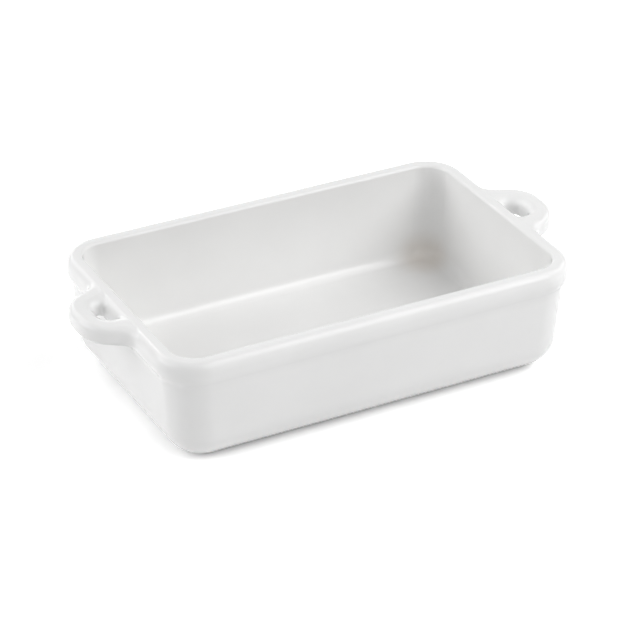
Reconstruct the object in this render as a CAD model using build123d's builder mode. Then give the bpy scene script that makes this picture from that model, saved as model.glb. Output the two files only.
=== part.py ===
from build123d import *

import os
from math import cos, radians, tan

# An oblong stoneware baking dish with a thick band round its rim, two loop handles and a bare foot ring.
# Millimetres. X runs from handle to handle, -Y faces the viewer and Z is up.
# The origin is the middle of the dish on the table.

os.makedirs("parts", exist_ok=True)

# The dish as a whole
rim_length = 330.0
rim_width = 209.0
rim_corner_radius = 31.0
dish_height = 87.0

# The band round the rim, with a soft slope back to the wall under it
band_height = 13.5
band_end_step = 3.8
band_side_step = 3.0
band_slope_height = 4.0
band_lower_rounding = 5.0
band_root_rounding = 7.0
rim_thickness = 12.0
rim_outer_rounding = 7.0
rim_inner_rounding = 2.4

# The wall and the bottom; the short ends slope more than the long sides
wall_end_draft = 4.5
wall_side_draft = 2.4
base_corner_radius = 26.5
base_rounding = 24.0
base_wall_thickness = 7.5
cavity_floor_corner_radius = 17.0
cove_radius = 9.0
floor_thickness = 7.0

# The foot ring
foot_height = 1.5
foot_width = 7.0
foot_margin = 2.0
foot_corner_radius = 14.0
foot_edge_rounding = 0.5

# The handles, whose arms lean together towards a rounded end and rise a little on the way
handle_reach = 28.0
handle_thickness = 15.0
handle_drop = 0.5
handle_rise_angle = 3.5
handle_band_width = 17.0
handle_arm_width = 15.5
handle_arm_angle = 27.0
handle_end_half_width = 21.5
handle_end_radius = 28.0
handle_flare_radius = 12.0
handle_root_inset = 1.0
handle_outer_rounding = 6.5
handle_hole_rounding = 5.0
handle_lower_rounding = 4.0

# How far cuts run past what they cut
cut_overrun = 5.0

# Levels
band_bottom = dish_height - band_height
wall_top = band_bottom - band_slope_height
floor_level = foot_height + floor_thickness
cavity_top = dish_height + cut_overrun

# How far the ends and the sides are set in from the rim's widest line at each level
base_end_inset = band_end_step + (wall_top - foot_height) * tan(radians(wall_end_draft))
base_side_inset = band_side_step + (wall_top - foot_height) * tan(radians(wall_side_draft))
floor_end_inset = base_end_inset + base_wall_thickness
floor_side_inset = base_side_inset + base_wall_thickness
cavity_end_slope = (floor_end_inset - rim_thickness) / (dish_height - floor_level)
cavity_side_slope = (floor_side_inset - rim_thickness) / (dish_height - floor_level)
cavity_top_end_inset = rim_thickness - cut_overrun * cavity_end_slope
cavity_top_side_inset = rim_thickness - cut_overrun * cavity_side_slope
foot_end_inset = base_end_inset + base_rounding + foot_margin
foot_side_inset = base_side_inset + base_rounding + foot_margin

# Level, inset of the ends, inset of the sides and corner radius of each outline
outer_outlines = [
    (foot_height, base_end_inset, base_side_inset, base_corner_radius),
    (wall_top, band_end_step, band_side_step, rim_corner_radius - band_side_step),
    (band_bottom, 0, 0, rim_corner_radius),
    (dish_height, 0, 0, rim_corner_radius),
]
cavity_outlines = [
    (floor_level, floor_end_inset, floor_side_inset, cavity_floor_corner_radius),
    (cavity_top, cavity_top_end_inset, cavity_top_side_inset, rim_corner_radius - rim_thickness),
]

# The dish: floor, walls and band
with BuildPart() as dish_body:
    for level, end_inset, side_inset, corner_radius in outer_outlines:
        with BuildSketch(Plane.XY.offset(level)):
            RectangleRounded(rim_length - 2 * end_inset, rim_width - 2 * side_inset, corner_radius)
    loft(ruled=True)
    fillet(dish_body.edges().filter_by_position(Axis.Z, foot_height, foot_height), base_rounding)
    fillet(dish_body.edges().filter_by_position(Axis.Z, wall_top, wall_top), band_root_rounding)
    fillet(dish_body.edges().filter_by_position(Axis.Z, band_bottom, band_bottom), band_lower_rounding)
    fillet(dish_body.edges().group_by(Axis.Z)[-1], rim_outer_rounding)
    for level, end_inset, side_inset, corner_radius in cavity_outlines:
        with BuildSketch(Plane.XY.offset(level)):
            RectangleRounded(rim_length - 2 * end_inset, rim_width - 2 * side_inset, corner_radius)
    loft(ruled=True, mode=Mode.SUBTRACT)
    fillet(dish_body.edges().filter_by_position(Axis.Z, floor_level, floor_level), cove_radius)
    rim_top = dish_body.faces().sort_by(Axis.Z)[-1]
    fillet(rim_top.inner_wires()[0].edges(), rim_inner_rounding)
dish_body.part.label = "dish_body"

# The foot ring under the bottom
with BuildPart() as foot_ring:
    with BuildSketch():
        RectangleRounded(rim_length - 2 * foot_end_inset, rim_width - 2 * foot_side_inset, foot_corner_radius)
        offset(amount=-foot_width, mode=Mode.SUBTRACT)
    extrude(amount=foot_height)
    fillet(foot_ring.edges().group_by(Axis.Z)[0], foot_edge_rounding)
foot_ring.part.label = "foot_ring"

# The handle's plan: the outer corners and the hole's corners, before they are rounded
root_x = rim_length / 2 - handle_root_inset
block_x = rim_length / 2 - rim_thickness + rim_inner_rounding
end_x = rim_length / 2 + handle_reach
hole_end_x = end_x - handle_band_width
arm_slope = tan(radians(handle_arm_angle))
arm_root_y = handle_end_half_width + (end_x - root_x) * arm_slope
hole_centre_y = handle_end_half_width - handle_arm_width / cos(radians(handle_arm_angle))
hole_end_y = hole_centre_y + handle_band_width * arm_slope
hole_block_y = hole_centre_y + (end_x - block_x) * arm_slope
block_y = arm_root_y + handle_flare_radius
flare_limit_y = (arm_root_y + block_y) / 2
handle_top = dish_height - handle_drop
handle_bottom = handle_top - handle_thickness
handle_root_line = Axis((root_x, 0, handle_top), (0, 1, 0))

# The handle's loop, level as it is drawn
with BuildPart() as level_loop:
    with BuildSketch(Plane.XY.offset(handle_bottom)) as handle_plan:
        with BuildLine():
            Polyline(
                (block_x, -block_y),
                (root_x, -block_y),
                (root_x, -arm_root_y),
                (end_x, -handle_end_half_width),
                (end_x, handle_end_half_width),
                (root_x, arm_root_y),
                (root_x, block_y),
                (block_x, block_y),
                close=True,
            )
        make_face()
        fillet(handle_plan.vertices().group_by(Axis.X)[-1], handle_end_radius)
        root_corners = handle_plan.vertices().filter_by_position(Axis.X, root_x, root_x)
        fillet(root_corners.filter_by_position(Axis.Y, -flare_limit_y, flare_limit_y), handle_flare_radius)
    extrude(amount=handle_thickness)
    outer_edges = level_loop.edges().filter_by_position(Axis.X, root_x, end_x)
    fillet(outer_edges.group_by(Axis.Z)[-1], handle_outer_rounding)
    outer_edges = level_loop.edges().filter_by_position(Axis.X, root_x, end_x)
    fillet(outer_edges.group_by(Axis.Z)[0], handle_lower_rounding)
    with BuildSketch(Plane.XY.offset(handle_bottom)) as hole_plan:
        with BuildLine():
            Polyline(
                (block_x, -hole_block_y),
                (hole_end_x, -hole_end_y),
                (hole_end_x, hole_end_y),
                (block_x, hole_block_y),
                close=True,
            )
        make_face()
        fillet(hole_plan.vertices().group_by(Axis.X)[-1], handle_end_radius - handle_band_width)
    extrude(amount=handle_thickness, mode=Mode.SUBTRACT)
    hole_edges = level_loop.edges().filter_by_position(Axis.X, block_x, hole_end_x)
    hole_edges = hole_edges.filter_by_position(Axis.Y, -hole_block_y, hole_block_y, inclusive=(False, False))
    fillet(hole_edges.group_by(Axis.Z)[-1], handle_hole_rounding)
    hole_edges = level_loop.edges().filter_by_position(Axis.X, block_x, hole_end_x)
    hole_edges = hole_edges.filter_by_position(Axis.Y, -hole_block_y, hole_block_y, inclusive=(False, False))
    fillet(hole_edges.group_by(Axis.Z)[0], handle_lower_rounding)

# The right handle, tilted up about its root and cut to the band's own surface where it is luted on
with BuildPart() as right_handle:
    add(level_loop.part.rotate(handle_root_line, -handle_rise_angle))
    add(dish_body.part, mode=Mode.SUBTRACT)
right_handle.part.label = "right_handle"

# The left handle is its mirror image
with BuildPart() as left_handle:
    mirror(right_handle.part, about=Plane.YZ)
left_handle.part.label = "left_handle"

for piece in (dish_body, foot_ring, left_handle, right_handle):
    export_step(piece.part, "parts/" + piece.part.label + ".step")
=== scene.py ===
"""Dresses the oblong baking dish.

It has a smooth glazed shell, two loop handles that flow into its band, and a bare clay foot.
"""

from math import cos, pi, radians, sin, tan

import bpy
import numpy as np
from mathutils import Matrix, Vector, noise


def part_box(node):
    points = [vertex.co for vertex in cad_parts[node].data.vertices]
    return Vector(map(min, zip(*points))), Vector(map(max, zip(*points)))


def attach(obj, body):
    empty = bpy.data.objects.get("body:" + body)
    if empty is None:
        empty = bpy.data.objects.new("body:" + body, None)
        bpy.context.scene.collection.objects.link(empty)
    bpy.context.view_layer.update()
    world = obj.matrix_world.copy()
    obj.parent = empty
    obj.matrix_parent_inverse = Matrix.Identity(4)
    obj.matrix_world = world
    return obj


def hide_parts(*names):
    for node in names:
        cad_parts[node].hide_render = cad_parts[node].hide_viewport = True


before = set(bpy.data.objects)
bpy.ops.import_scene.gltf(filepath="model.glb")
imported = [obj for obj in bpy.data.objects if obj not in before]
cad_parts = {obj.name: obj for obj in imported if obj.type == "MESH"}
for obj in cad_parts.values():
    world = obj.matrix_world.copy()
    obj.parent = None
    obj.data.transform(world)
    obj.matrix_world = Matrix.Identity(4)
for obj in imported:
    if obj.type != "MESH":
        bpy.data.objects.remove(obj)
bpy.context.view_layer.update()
MM = 0.001

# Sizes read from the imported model
body_low, body_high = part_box("dish_body")
foot_low, foot_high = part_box("foot_ring")
half_length = body_high.x
half_width = body_high.y
rim_level = body_high.z
foot_level = body_low.z

# The profile of the dish
rim_corner_radius = 31 * MM
band_height = 13.5 * MM
band_end_step = 3.8 * MM
band_side_step = 3.0 * MM
band_slope_height = 4 * MM
band_slope_reach = 7 * MM
band_slope_softness = 3.6 * MM
band_root_softness = 4.5 * MM
band_lower_softness = 4.0 * MM
rim_thickness = 12 * MM
rim_outer_rounding_width = 5.6 * MM
rim_outer_rounding_height = 8.5 * MM
rim_inner_rounding = 2.5 * MM
wall_end_draft = radians(4.5)
wall_side_draft = radians(2.4)
base_corner_radius = 26.5 * MM
base_rounding = 24 * MM
base_wall_thickness = 7.5 * MM
cavity_floor_corner_radius = 17 * MM
cove_radius = 9 * MM
floor_level = 8.5 * MM
middle_half_width = 3 * MM
least_corner_radius = 1 * MM

# The foot ring
foot_width = 7 * MM
foot_corner_radius = 14 * MM
foot_edge_rounding = 0.5 * MM

# The handles' loop
handle_reach = 28 * MM
handle_thickness = 15 * MM
handle_drop = 0.5 * MM
handle_rise = tan(radians(3.5))
handle_band_width = 17 * MM
handle_arm_width = 17.5 * MM
handle_arm_angle = radians(27)
handle_end_half_width = 21.5 * MM
handle_end_radius = 28 * MM
handle_upper_rounding = 5.0 * MM
handle_hole_rounding = 7.5 * MM
handle_rounding_turn = 4 * MM
handle_lower_rounding = 4.5 * MM

# How softly the handles flow into the band: outside, inside the hole, above and below
flare_outside = 8.5 * MM
flare_hole = 3.5 * MM
flare_above = 12 * MM
flare_below = 4 * MM
flare_turn_width = 6 * MM
root_reach = 10 * MM
root_limit = 26 * MM
root_depth = 12 * MM
tuck_reach = 1 * MM
tuck_depth = 0.04 * MM

# The glaze lies a little unevenly
wave_height = 0.1 * MM
wave_length = 55 * MM

# Painted shade: the cavity's floor is painted warmer and darker low down in its four corners, where shade
# falls
corner_shade_inset = 10 * MM
corner_shade_core = 5 * MM
corner_shade_reach = 29 * MM
corner_shade_tint = (0.91, 0.87, 0.83, 1)

# Painted light: inside the cavity the glaze is painted a little lighter
inside_painted_light = (1.05, 1.049, 1.045, 1)

# The glaze's finish: its tones and their slow drift, its gloss and its fine orange peel
glaze_darker = (0.75, 0.75, 0.748, 1)
glaze_lighter = (0.772, 0.772, 0.77, 1)
glaze_drift_shares = (0.3, 0.7)
glaze_drifts_per_metre = 18
glaze_drift_detail = 3
glaze_roughness = 0.04
glaze_specular_level = 0.34
glaze_refraction = 1.5
peels_per_metre = 260
peel_detail = 2
peel_strength = 0.04
peel_depth = 0.4 * MM

# The clay's finish: its tones, and a grain that shows in them and in its relief
clay_darker = (0.5, 0.44, 0.36, 1)
clay_lighter = (0.72, 0.67, 0.59, 1)
clay_grain_shares = (0.35, 0.6)
clay_grains_per_metre = 900
clay_grain_detail = 6
clay_roughness = 0.85
clay_grain_strength = 0.35
clay_grain_depth = 0.3 * MM

# The studio
floor_reach = 1.6
floor_colour = (0.9, 0.9, 0.9, 1)
floor_roughness = 0.9
floor_specular_level = 0.1
floor_gain = 0.38
world_light = 0.05
lamp_distance = 2.0
lamp_aim = Vector((0, 0, 50 * MM))

# The camera stands where the photograph was taken from
camera_azimuth = -27.636
camera_elevation = 29.797
camera_roll = -0.03
camera_distance = 2.04329
camera_target = Vector((0.00213, 0.00419, 0.03225))
camera_lens = 156.1
camera_sensor_width = 36
camera_sight = 50

# Mesh steps: the profile's arcs, and its straight sides from under the middle to the cavity's floor
arc_steps = 16
under_steps = 6
outer_wall_steps = 10
slope_steps = 2
band_steps = 3
rim_steps = 3
inner_wall_steps = 14
inner_floor_steps = 10
cavity_rings = 2 * arc_steps + inner_wall_steps + inner_floor_steps
inside_fade_rings = 12

# Mesh steps of the rings, the foot and the handles
foot_side_steps = 2
foot_bottom_steps = 4
arm_steps = 24
loop_end_steps = 8
corner_steps = 28
long_steps = 72
short_steps = 56
loop_steps = 100
section_steps = 96
root_steps = 24
trace_steps = 30
search_steps = 260
settle_steps = 5
probe_step = 0.01 * MM
level_tolerance = 0.001 * MM
tiny = 1e-9


def unit(v):
    return v / np.linalg.norm(v, axis=-1, keepdims=True)


def arc_corner(before, at, after, start_length, end_length):
    """Points of a smooth corner that leaves its sides the given lengths away, an arc if both are equal."""
    to_start = unit(before - at)
    to_end = unit(after - at)
    weight = np.sqrt((1 - to_start @ to_end) / 2)
    t = np.linspace(0, 1, arc_steps + 1)[:, None]
    low, middle, high = (1 - t) ** 2, 2 * weight * t * (1 - t), t ** 2
    points = low * (at + to_start * start_length) + middle * at + high * (at + to_end * end_length)
    return points / (low + middle + high)


def arc_lengths(before, at, after, radius):
    """How far from a corner an arc of that radius leaves its sides, twice, for both sides."""
    turn = pi - np.arccos(unit(before - at) @ unit(after - at))
    return radius * tan(turn / 2), radius * tan(turn / 2)


def rounded_path(points, corners, runs):
    """A path through the points. A corner is a radius, or the lengths that it takes of its two sides.

    The runs count the steps of each straight side.
    """
    points = [np.array(point, float) for point in points]
    triples = list(zip(points, points[1:], points[2:]))
    arcs = []
    for triple, corner in zip(triples, corners):
        lengths = corner if isinstance(corner, tuple) else arc_lengths(*triple, corner)
        arcs.append(arc_corner(*triple, *lengths))
    stops = [points[:1]] + arcs + [points[-1:]]
    path = [points[0][None]]
    for start, end, steps in zip(stops, stops[1:], runs):
        share = np.linspace(0, 1, steps + 1)[1:, None]
        path.append(start[-1] + (end[0] - start[-1]) * share)
        path.append(end[1:])
    return np.concatenate([p for p in path if len(p)])


class Edge:
    """A path in a plane with the outside on its left hand, and signed distances to it."""

    def __init__(self, path):
        self.path = path
        self.along = unit(np.diff(path, axis=0))
        self.length = np.linalg.norm(np.diff(path, axis=0), axis=1)
        across = np.stack([-self.along[:, 1], self.along[:, 0]], axis=1)
        self.normal = unit(np.concatenate([across[:1], across[:-1] + across[1:], across[-1:]]))

    def measure(self, points):
        """The signed distance and the outward normal at each point."""
        offset = points[:, None] - self.path[None, :-1]
        reach = np.clip(np.einsum("pse,se->ps", offset, self.along), 0, self.length)
        away = offset - reach[..., None] * self.along
        nearest = np.argmin(np.einsum("pse,pse->ps", away, away), axis=1)
        row = np.arange(len(points))
        share = (reach[row, nearest] / self.length[nearest])[:, None]
        normal = unit(self.normal[nearest] * (1 - share) + self.normal[nearest + 1] * share)
        away = away[row, nearest]
        side = np.where((away * normal).sum(axis=1) < 0, -1, 1)
        return np.linalg.norm(away, axis=1) * side, normal


# The profile's levels
band_bottom = rim_level - band_height
wall_top = band_bottom - band_slope_reach
wall_rise = band_bottom - band_slope_height - foot_level


def profile(base_inset, step, inner_inset, middle_inset):
    """The dish's section, from under the middle out, up and in to the floor, as insets and levels."""
    points = [
        (middle_inset, foot_level),
        (base_inset, foot_level),
        (step, wall_top),
        (0, band_bottom),
        (0, rim_level),
        (rim_thickness, rim_level),
        (inner_inset, floor_level),
        (middle_inset, floor_level),
    ]
    corners = [
        base_rounding,
        (band_root_softness, band_slope_softness),
        (band_slope_softness, band_lower_softness),
        (rim_outer_rounding_height, rim_outer_rounding_width),
        rim_inner_rounding,
        cove_radius,
    ]
    outside = (under_steps, outer_wall_steps, slope_steps, band_steps)
    inside = (rim_steps, inner_wall_steps, inner_floor_steps)
    return rounded_path(points, corners, outside + inside)


# The profile at the ends, at the long sides and, as what the corners' radius loses, in the corners
end_base_inset = band_end_step + wall_rise * tan(wall_end_draft)
side_base_inset = band_side_step + wall_rise * tan(wall_side_draft)
side_middle_inset = half_width - middle_half_width
end_middle_inset = side_middle_inset + end_base_inset - side_base_inset
end_inner_inset = end_base_inset + base_wall_thickness
side_inner_inset = side_base_inset + base_wall_thickness
end_profile = profile(end_base_inset, band_end_step, end_inner_inset, end_middle_inset)
side_profile = profile(side_base_inset, band_side_step, side_inner_inset, side_middle_inset)
corner_profile = profile(
    rim_corner_radius - base_corner_radius,
    band_side_step,
    rim_corner_radius - cavity_floor_corner_radius,
    rim_corner_radius - least_corner_radius,
)


def rounded_ring(half_x, half_y, radius, end_z, side_z):
    """A ring round the dish, from the middle of the +X end. Its level turns from end_z to side_z."""
    turn = np.linspace(0, pi / 2, corner_steps + 1)[1:]
    end_run = np.linspace(0, 1, short_steps // 2 + 1)
    side_run = np.linspace(1, 0, long_steps // 2 + 1)[1:]
    straight_x = half_x - radius
    straight_y = half_y - radius
    corner_x = straight_x + radius * np.cos(turn)
    corner_y = straight_y + radius * np.sin(turn)
    x = np.concatenate([np.full(len(end_run), half_x), corner_x, straight_x * side_run])
    y = np.concatenate([straight_y * end_run, corner_y, np.full(len(side_run), half_y)])
    share = np.concatenate([np.zeros(len(end_run)), np.sin(turn) ** 2, np.ones(len(side_run))])
    z = end_z + (side_z - end_z) * share
    quarter = np.stack([x, y, z], axis=1)
    half = np.concatenate([quarter, (quarter * [-1, 1, 1])[-2::-1]])
    return np.concatenate([half, (half * [1, -1, 1])[-2:0:-1]])


def grid_faces(rings, count, closed_rings=False):
    """Quads between neighbouring rings of as many points each."""
    faces = []
    for ring in range(rings if closed_rings else rings - 1):
        near = ring * count
        far = (ring + 1) % rings * count
        for i in range(count):
            j = (i + 1) % count
            faces.append((near + i, near + j, far + j, far + i))
    return faces


def ring_cap(first, count, flip):
    """One face across a flat ring."""
    face = tuple(range(first, first + count))
    return face[::-1] if flip else face


def uneven(points):
    """The glaze's slow waves: how far each point stands proud."""
    scale = 1 / wave_length
    return wave_height * np.array([noise.noise(Vector(p) * scale) for p in points])


def make_piece(name, points, faces, material, node, wavy=True):
    """A smooth mesh that stands for a CAD node, which it hides, and rides with the root body."""
    mesh = bpy.data.meshes.new(name)
    mesh.from_pydata([tuple(p) for p in points], [], faces)
    mesh.validate()
    mesh.update()
    mesh.shade_smooth()
    if wavy:
        normals = np.array([v.normal for v in mesh.vertices])
        moved = points + normals * uneven(points)[:, None]
        mesh.vertices.foreach_set("co", moved.ravel())
        mesh.update()
    mesh.materials.append(material)
    piece = bpy.data.objects.new(name, mesh)
    bpy.context.scene.collection.objects.link(piece)
    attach(piece, "root")
    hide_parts(node)
    return piece


def corner_shade_amount(points, inside):
    """How much painted shade each point gets: most on the inside, low down in the four corners of the
    cavity's floor.
    """
    corner = np.array([
        half_length - end_inner_inset - corner_shade_inset,
        half_width - side_inner_inset - corner_shade_inset,
        floor_level,
    ])
    away = np.linalg.norm(np.abs(points) - corner, axis=1)
    return inside * (1 - smooth_step(corner_shade_core, corner_shade_reach, away))


def mark_painted_light_and_shade(skin, points):
    """Marks the shell's skin with how far inside each point is, for the painted light, and how much painted
    shade its corners get.
    """
    ring_count = len(end_profile)
    past_rim = np.arange(ring_count) - ring_count + cavity_rings
    inside = np.repeat(np.clip(past_rim / inside_fade_rings, 0, 1), len(points) // ring_count)
    for name, values in (("glaze_inside", inside), ("painted_corner_shade", corner_shade_amount(points, inside))):
        skin.data.attributes.new(name, "FLOAT", "POINT").data.foreach_set("value", values)


def shell():
    """The dish's own skin, ring by ring along its profile, closed under the bottom and on the floor."""
    rings = []
    for end, side, corner in zip(end_profile, side_profile, corner_profile):
        radius = rim_corner_radius - corner[0]
        rings.append(rounded_ring(half_length - end[0], half_width - side[0], radius, end[1], side[1]))
    count = len(rings[0])
    faces = grid_faces(len(rings), count)
    faces.append(ring_cap(0, count, True))
    faces.append(ring_cap((len(rings) - 1) * count, count, False))
    return np.concatenate(rings), faces


def foot():
    """The bare foot ring, a closed band of clay."""
    outer_x, outer_y = foot_high.x, foot_high.y
    low, high = foot_low.z, foot_high.z
    section = rounded_path(
        [(0, high), (0, low), (foot_width, low), (foot_width, high)],
        [foot_edge_rounding, foot_edge_rounding],
        (foot_side_steps, foot_bottom_steps, foot_side_steps),
    )
    rings = []
    for inset, z in section:
        rings.append(rounded_ring(outer_x - inset, outer_y - inset, foot_corner_radius - inset, z, z))
    return np.concatenate(rings), grid_faces(len(rings), len(rings[0]), closed_rings=True)


# The band's edge at the ends, in X and Z, from the rim's flat top over its outside and down the wall
band_path = np.stack([half_length - end_profile[:, 0], end_profile[:, 1]], axis=1)
rim_flat_end = np.flatnonzero(band_path[:, 1] > rim_level - level_tolerance)[-1]
wall_start = np.flatnonzero(band_path[:, 1] > foot_level + base_rounding)[0]
band_edge = Edge(band_path[wall_start:rim_flat_end + 1][::-1])
band_run = np.concatenate([[0], np.cumsum(band_edge.length)])

# The handle's outlines in plan, with the clay on their right hand
end_x = half_length + handle_reach
inner_x = half_length - root_depth
hole_end_x = end_x - handle_band_width
arm_slope = tan(handle_arm_angle)


def arm_path(tip_x, tip_y, back_x, radius):
    """One arm in from the back, round the end of the loop and back along the other arm."""
    back_y = tip_y + (tip_x - back_x) * arm_slope
    points = [(back_x, back_y), (tip_x, tip_y), (tip_x, -tip_y), (back_x, -back_y)]
    return rounded_path(points, [radius, radius], (arm_steps, loop_end_steps, arm_steps))


def tip_half_width(share):
    """The half width of the loop's end, that share of the way in from its outside to its hole."""
    narrowing = handle_arm_width * share / cos(handle_arm_angle)
    return handle_end_half_width - narrowing + handle_band_width * share * arm_slope


outer_edge = Edge(arm_path(end_x, tip_half_width(0), inner_x, handle_end_radius))
hole_radius = handle_end_radius - handle_band_width
hole_edge = Edge(arm_path(hole_end_x, tip_half_width(1), inner_x, hole_radius)[::-1])
centre_tip_x = end_x - handle_band_width / 2
centre_tip_y = tip_half_width(1 / 2)
root_y = centre_tip_y + (centre_tip_x - half_length) * arm_slope
whole_centre = arm_path(centre_tip_x, centre_tip_y, inner_x, handle_end_radius - handle_band_width / 2)
loop_centre = whole_centre[whole_centre[:, 0] > half_length + root_reach]
middle_level = rim_level - handle_drop - handle_thickness / 2


def smooth_step(low, high, value):
    """Rises smoothly from 0 at the low value to 1 at the high one."""
    t = np.clip((value - low) / (high - low), 0, 1)
    return t * t * (3 - 2 * t)


def loop_distance(points):
    """Signed distance to the handle alone, its outward normal and how softly it flows into the band."""
    outer, outer_normal = outer_edge.measure(points[:, :2])
    hole, hole_normal = hole_edge.measure(points[:, :2])
    side = np.maximum(outer, hole)
    side_normal = np.where((outer > hole)[:, None], outer_normal, hole_normal)
    height = points[:, 2] - middle_level - (points[:, 0] - half_length) * handle_rise
    inwards = smooth_step(-handle_rounding_turn, handle_rounding_turn, hole - outer)
    upper = handle_upper_rounding + (handle_hole_rounding - handle_upper_rounding) * inwards
    rounding = np.where(height > 0, upper, handle_lower_rounding)
    across = side + rounding
    upward = np.abs(height) - handle_thickness / 2 + rounding
    outside = np.hypot(np.maximum(across, 0), np.maximum(upward, 0))
    distance = outside + np.minimum(np.maximum(across, upward), 0) - rounding
    level = np.clip(np.maximum(upward, 0) / np.maximum(outside, tiny), 0, 1)
    level = np.where(outside > 0, level, (upward > across) * 1.0)
    plan = np.sqrt(1 - level ** 2)
    normal = np.concatenate([side_normal * plan[:, None], (level * np.sign(height))[:, None]], axis=1)
    outwards = smooth_step(-flare_turn_width, flare_turn_width, outer - hole)
    beside = flare_hole + (flare_outside - flare_hole) * outwards
    over = np.where(height > 0, flare_above, flare_below)
    return distance, normal, beside + (over - beside) * level


def joined_distance(points):
    """Signed distance to handle and band in one, and how far outside the handle's flow into the band it is.

    The two flow into each other at the band's outside, but not on the rim's flat top.
    """
    band, band_normal = band_edge.measure(points[:, [0, 2]])
    loop, loop_normal, flare = loop_distance(points)
    band_normal = np.stack([band_normal[:, 0], np.zeros(len(points)), band_normal[:, 1]], axis=1)
    fading = np.sqrt(1 - np.clip(band_normal[:, 2], 0, 1) ** 2)
    blend = flare * fading * np.linalg.norm(band_normal - loop_normal, axis=1) + tiny
    overlap = np.maximum(blend - np.abs(band - loop), 0) / blend
    return np.minimum(band, loop) - overlap ** 2 * blend / 4, loop - blend


def trace(starts, directions):
    """Where rays from inside the clay come out of it."""
    reach = np.zeros(len(starts))
    for _ in range(trace_steps):
        reach -= joined_distance(starts + directions * reach[:, None])[0]
    return starts + directions * reach[:, None]


def on_band(run, y):
    """Points on the band's end that far along its edge, and the normals there."""
    x = np.interp(run, band_run, band_edge.path[:, 0])
    z = np.interp(run, band_run, band_edge.path[:, 1])
    normal_x = np.interp(run, band_run, band_edge.normal[:, 0])
    normal_z = np.interp(run, band_run, band_edge.normal[:, 1])
    return np.stack([x, y, z], axis=-1), np.stack([normal_x, np.zeros_like(x), normal_z], axis=-1)


def settle(points):
    """Moves points that are near the joined surface on to it."""
    for _ in range(settle_steps):
        here = joined_distance(points)[0]
        moved = [joined_distance(points + axis * probe_step)[0] for axis in np.eye(3)]
        slope = (np.stack(moved, axis=1) - here[:, None]) / probe_step
        points = points - slope * (here / (slope ** 2).sum(axis=1))[:, None]
    return points


def root_rings(first_ring, middle_y):
    """The handle's rings from its first free one to where it has melted into the band, and past it."""
    turn = np.linspace(0, 2 * pi, section_steps, endpoint=False)
    side = np.sign(middle_y)
    middle_run = np.interp(rim_level - middle_level, rim_level - band_edge.path[:, 1], band_run)

    def spread(reach):
        return on_band(middle_run - reach * np.sin(turn), middle_y + side * reach * np.cos(turn))

    reaches = np.linspace(0, root_limit, search_steps)
    melted = np.array([joined_distance(spread(reach)[0])[1] for reach in reaches])
    after = np.argmax(melted > 0, axis=0)
    column = np.arange(section_steps)
    share = melted[after, column] / (melted[after, column] - melted[after - 1, column])
    reach = reaches[after] - share * (reaches[1] - reaches[0])
    last, _ = spread(reach)
    steps = np.linspace(0, 1, root_steps + 1)[1:]
    rings = [settle(first_ring + (last - first_ring) * step) for step in steps[:-1]]
    tucked, normal = spread(reach + tuck_reach)
    tucked = tucked - normal * tuck_depth
    heart = np.array([half_length - rim_thickness / 2, middle_y, middle_level])
    return rings + [last, tucked, tucked + (heart - tucked) / 2]


def loop():
    """The right-hand handle, ring by ring from one root round its end to the other root."""
    along = unit(np.gradient(loop_centre, axis=0))
    sideways = np.stack([-along[:, 1], along[:, 0]], axis=1)
    steps = np.concatenate([[0], np.cumsum(np.linalg.norm(np.diff(loop_centre, axis=0), axis=1))])
    at = np.linspace(0, steps[-1], loop_steps + 1)

    def sample(values):
        return np.stack([np.interp(at, steps, values[:, k]) for k in range(values.shape[1])], axis=1)

    centre = sample(loop_centre)
    sideways = unit(sample(sideways))
    level = middle_level + (centre[:, 0] - half_length) * handle_rise
    centre = np.concatenate([centre, level[:, None]], axis=1)
    sideways = np.concatenate([sideways, np.zeros((len(at), 1))], axis=1)
    turn = np.linspace(0, 2 * pi, section_steps, endpoint=False)
    starts = np.repeat(centre, section_steps, axis=0)
    upwards = np.array([0, 0, 1])
    directions = sideways[:, None] * np.cos(turn)[:, None] + upwards * np.sin(turn)[:, None]
    rings = trace(starts, directions.reshape(-1, 3)).reshape(len(at), section_steps, 3)
    first = root_rings(rings[0], root_y)
    last = root_rings(rings[-1], -root_y)
    rings = first[::-1] + list(rings) + last
    faces = grid_faces(len(rings), section_steps)
    faces.append(ring_cap(0, section_steps, True))
    faces.append(ring_cap((len(rings) - 1) * section_steps, section_steps, False))
    return np.concatenate(rings), faces


def new_material(name):
    """A material with its nodes, links and shader."""
    material = bpy.data.materials.new(name)
    material.use_nodes = True
    nodes = material.node_tree.nodes
    return material, nodes, material.node_tree.links, nodes["Principled BSDF"]


def add_node(nodes, kind, **inputs):
    """A node with the given inputs. An underscore in an input's name stands for a space."""
    node = nodes.new(kind)
    for key, value in inputs.items():
        node.inputs[key.replace("_", " ")].default_value = value
    return node


def tinted(nodes, links, colour, attribute, tint):
    """The colour, multiplied by a tint as far as the attribute says."""
    amount = nodes.new("ShaderNodeAttribute")
    amount.attribute_name = attribute
    mix = nodes.new("ShaderNodeMix")
    mix.data_type = "RGBA"
    mix.blend_type = "MULTIPLY"
    mix.inputs["B"].default_value = tint
    links.new(amount.outputs["Fac"], mix.inputs["Factor"])
    links.new(colour, mix.inputs["A"])
    return mix.outputs["Result"]


def two_tones(nodes, links, value, shares, darker, lighter):
    """A colour that turns from darker to lighter between two shares of the value's range."""
    ramp = nodes.new("ShaderNodeValToRGB")
    for element, share, colour in zip(ramp.color_ramp.elements, shares, (darker, lighter)):
        element.position = share
        element.color = colour
    links.new(value, ramp.inputs["Fac"])
    return ramp.outputs["Color"]


def add_relief(nodes, links, shader, height, strength, depth):
    """Gives the shader a fine relief."""
    bump = add_node(nodes, "ShaderNodeBump", Strength=strength, Distance=depth)
    links.new(height, bump.inputs["Height"])
    links.new(bump.outputs["Normal"], shader.inputs["Normal"])


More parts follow.
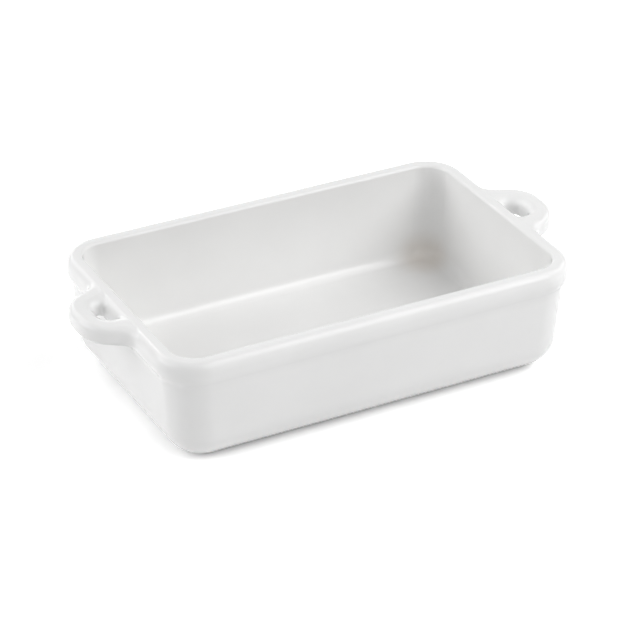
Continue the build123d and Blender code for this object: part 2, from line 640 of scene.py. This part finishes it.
def white_glaze():
    """A glossy white glaze with slow drifts of tone, painted light inside, painted shade in the cavity's
    corners and a fine orange peel.
    """
    material, nodes, links, shader = new_material("white_glaze")
    place = nodes.new("ShaderNodeTexCoord")
    drift = add_node(nodes, "ShaderNodeTexNoise", Scale=glaze_drifts_per_metre, Detail=glaze_drift_detail)
    links.new(place.outputs["Object"], drift.inputs["Vector"])
    outer = two_tones(nodes, links, drift.outputs["Fac"], glaze_drift_shares, glaze_darker, glaze_lighter)
    # Painted light: the cavity's inside is painted a little lighter
    inner = tinted(nodes, links, outer, "glaze_inside", inside_painted_light)
    # Painted shade: the cavity's corners are painted warmer and darker
    links.new(tinted(nodes, links, inner, "painted_corner_shade", corner_shade_tint), shader.inputs["Base Color"])
    shader.inputs["Roughness"].default_value = glaze_roughness
    shader.inputs["Specular IOR Level"].default_value = glaze_specular_level
    shader.inputs["IOR"].default_value = glaze_refraction
    peel = add_node(nodes, "ShaderNodeTexNoise", Scale=peels_per_metre, Detail=peel_detail)
    links.new(place.outputs["Object"], peel.inputs["Vector"])
    add_relief(nodes, links, shader, peel.outputs["Fac"], peel_strength, peel_depth)
    return material


def bare_clay():
    """Matt fired clay with fine specks."""
    material, nodes, links, shader = new_material("bare_clay")
    place = nodes.new("ShaderNodeTexCoord")
    grain = add_node(nodes, "ShaderNodeTexNoise", Scale=clay_grains_per_metre, Detail=clay_grain_detail)
    links.new(place.outputs["Object"], grain.inputs["Vector"])
    tone = two_tones(nodes, links, grain.outputs["Fac"], clay_grain_shares, clay_darker, clay_lighter)
    links.new(tone, shader.inputs["Base Color"])
    shader.inputs["Roughness"].default_value = clay_roughness
    add_relief(nodes, links, shader, grain.outputs["Fac"], clay_grain_strength, clay_grain_depth)
    return material


glaze = white_glaze()
clay = bare_clay()
shell_points, shell_faces = shell()
dish_skin = make_piece("glazed_shell", shell_points, shell_faces, glaze, "dish_body")
mark_painted_light_and_shade(dish_skin, shell_points)
loop_points, loop_faces = loop()
make_piece("right_loop", loop_points, loop_faces, glaze, "right_handle")
mirrored = [face[::-1] for face in loop_faces]
make_piece("left_loop", loop_points * [-1, 1, 1], mirrored, glaze, "left_handle")
foot_points, foot_faces = foot()
make_piece("clay_foot", foot_points, foot_faces, clay, "foot_ring", wavy=False)


def seen_directly(nodes, links):
    """1 where the camera looks, straight or by way of a mirroring or clear surface, and 0 for the light."""
    path = nodes.new("ShaderNodeLightPath")
    total = path.outputs["Is Camera Ray"]
    for kind in ("Is Glossy Ray", "Is Transmission Ray"):
        either = nodes.new("ShaderNodeMath")
        either.operation = "MAXIMUM"
        links.new(total, either.inputs[0])
        links.new(path.outputs[kind], either.inputs[1])
        total = either.outputs["Value"]
    return total


def studio_floor():
    """A pale table top that is white to the camera apart from the dish's shadow."""
    corners = [(-floor_reach, -floor_reach, 0), (floor_reach, -floor_reach, 0)]
    corners += [(floor_reach, floor_reach, 0), (-floor_reach, floor_reach, 0)]
    mesh = bpy.data.meshes.new("floor")
    mesh.from_pydata(corners, [], [(0, 1, 2, 3)])
    floor = bpy.data.objects.new("floor", mesh)
    bpy.context.scene.collection.objects.link(floor)
    material, nodes, links, shader = new_material("pale_floor")
    shader.inputs["Base Color"].default_value = floor_colour
    shader.inputs["Roughness"].default_value = floor_roughness
    shader.inputs["Specular IOR Level"].default_value = floor_specular_level
    seen = seen_directly(nodes, links)
    brighter = add_node(nodes, "ShaderNodeBsdfDiffuse", Color=(floor_gain, floor_gain, floor_gain, 1))
    nothing = add_node(nodes, "ShaderNodeBsdfDiffuse", Color=(0, 0, 0, 1))
    extra = nodes.new("ShaderNodeMixShader")
    total = nodes.new("ShaderNodeAddShader")
    links.new(seen, extra.inputs["Fac"])
    links.new(nothing.outputs["BSDF"], extra.inputs[1])
    links.new(brighter.outputs["BSDF"], extra.inputs[2])
    links.new(shader.outputs["BSDF"], total.inputs[0])
    links.new(extra.outputs["Shader"], total.inputs[1])
    links.new(total.outputs["Shader"], nodes["Material Output"].inputs["Surface"])
    mesh.materials.append(material)


def studio_world():
    """White to the camera, and nearly dark as a light."""
    world = bpy.data.worlds.new("studio")
    bpy.context.scene.world = world
    world.use_nodes = True
    nodes, links = world.node_tree.nodes, world.node_tree.links
    plain = nodes["Background"]
    plain.inputs["Color"].default_value = (1, 1, 1, 1)
    plain.inputs["Strength"].default_value = world_light
    white = add_node(nodes, "ShaderNodeBackground", Color=(1, 1, 1, 1), Strength=1.0)
    mix = nodes.new("ShaderNodeMixShader")
    links.new(seen_directly(nodes, links), mix.inputs["Fac"])
    links.new(plain.outputs["Background"], mix.inputs[1])
    links.new(white.outputs["Background"], mix.inputs[2])
    links.new(mix.outputs["Shader"], nodes["World Output"].inputs["Surface"])


def direction(azimuth, elevation):
    """From the dish outwards. Azimuth 0 is in front of it, on -Y, and 90 is on its right, in degrees."""
    turn, lift = radians(azimuth), radians(elevation)
    return Vector((sin(turn) * cos(lift), -cos(turn) * cos(lift), sin(lift)))


def soft_lamp(name, azimuth, elevation, width, height, brightness):
    """A soft box that faces the dish. Its brightness is what the camera would see, where 1 is white."""
    back = direction(azimuth, elevation)
    lamp = bpy.data.lights.new(name, "AREA")
    lamp.shape = "RECTANGLE"
    lamp.size = width
    lamp.size_y = height
    lamp.energy = brightness * pi * width * height
    holder = bpy.data.objects.new(name, lamp)
    bpy.context.scene.collection.objects.link(holder)
    holder.location = lamp_aim + back * lamp_distance
    holder.rotation_euler = back.to_track_quat("Z", "Y").to_euler()


def place_camera():
    """The scene's camera, aimed at its target and rolled a little."""
    back = direction(camera_azimuth, camera_elevation)
    turn, roll = radians(camera_azimuth), radians(camera_roll)
    right = Vector((cos(turn), sin(turn), 0))
    up = back.cross(right)
    turned_right = right * cos(roll) + up * sin(roll)
    turned_up = up * cos(roll) - right * sin(roll)
    axes = Matrix((turned_right, turned_up, back)).transposed()
    lens = bpy.data.cameras.new("camera")
    lens.sensor_width = camera_sensor_width
    lens.lens = camera_lens
    lens.clip_end = camera_sight
    camera = bpy.data.objects.new("camera", lens)
    bpy.context.scene.collection.objects.link(camera)
    camera.matrix_world = Matrix.Translation(camera_target + back * camera_distance) @ axes.to_4x4()
    bpy.context.scene.camera = camera


studio_floor()
studio_world()
soft_lamp("right_high_lamp", azimuth=60, elevation=48, width=2.0, height=1.5, brightness=2.5)
soft_lamp("front_lamp", azimuth=17, elevation=35, width=1.6, height=1.35, brightness=2.4)
soft_lamp("right_lamp", azimuth=95, elevation=24, width=1.2, height=0.9, brightness=1.6)
soft_lamp("left_lamp", azimuth=-105, elevation=28, width=1.8, height=1.5, brightness=2.0)
soft_lamp("left_low_lamp", azimuth=-115, elevation=14, width=1.4, height=0.6, brightness=2.3)
soft_lamp("back_left_lamp", azimuth=-155, elevation=34, width=1.8, height=1.4, brightness=1.65)
soft_lamp("front_left_lamp", azimuth=-45, elevation=62, width=1.0, height=1.0, brightness=0.9)
soft_lamp("back_lamp", azimuth=172, elevation=14, width=1.2, height=0.8, brightness=0.9)
soft_lamp("small_lamp", azimuth=-163, elevation=37, width=0.07, height=0.07, brightness=25)
place_camera()
bpy.context.scene.view_settings.view_transform = "Standard"
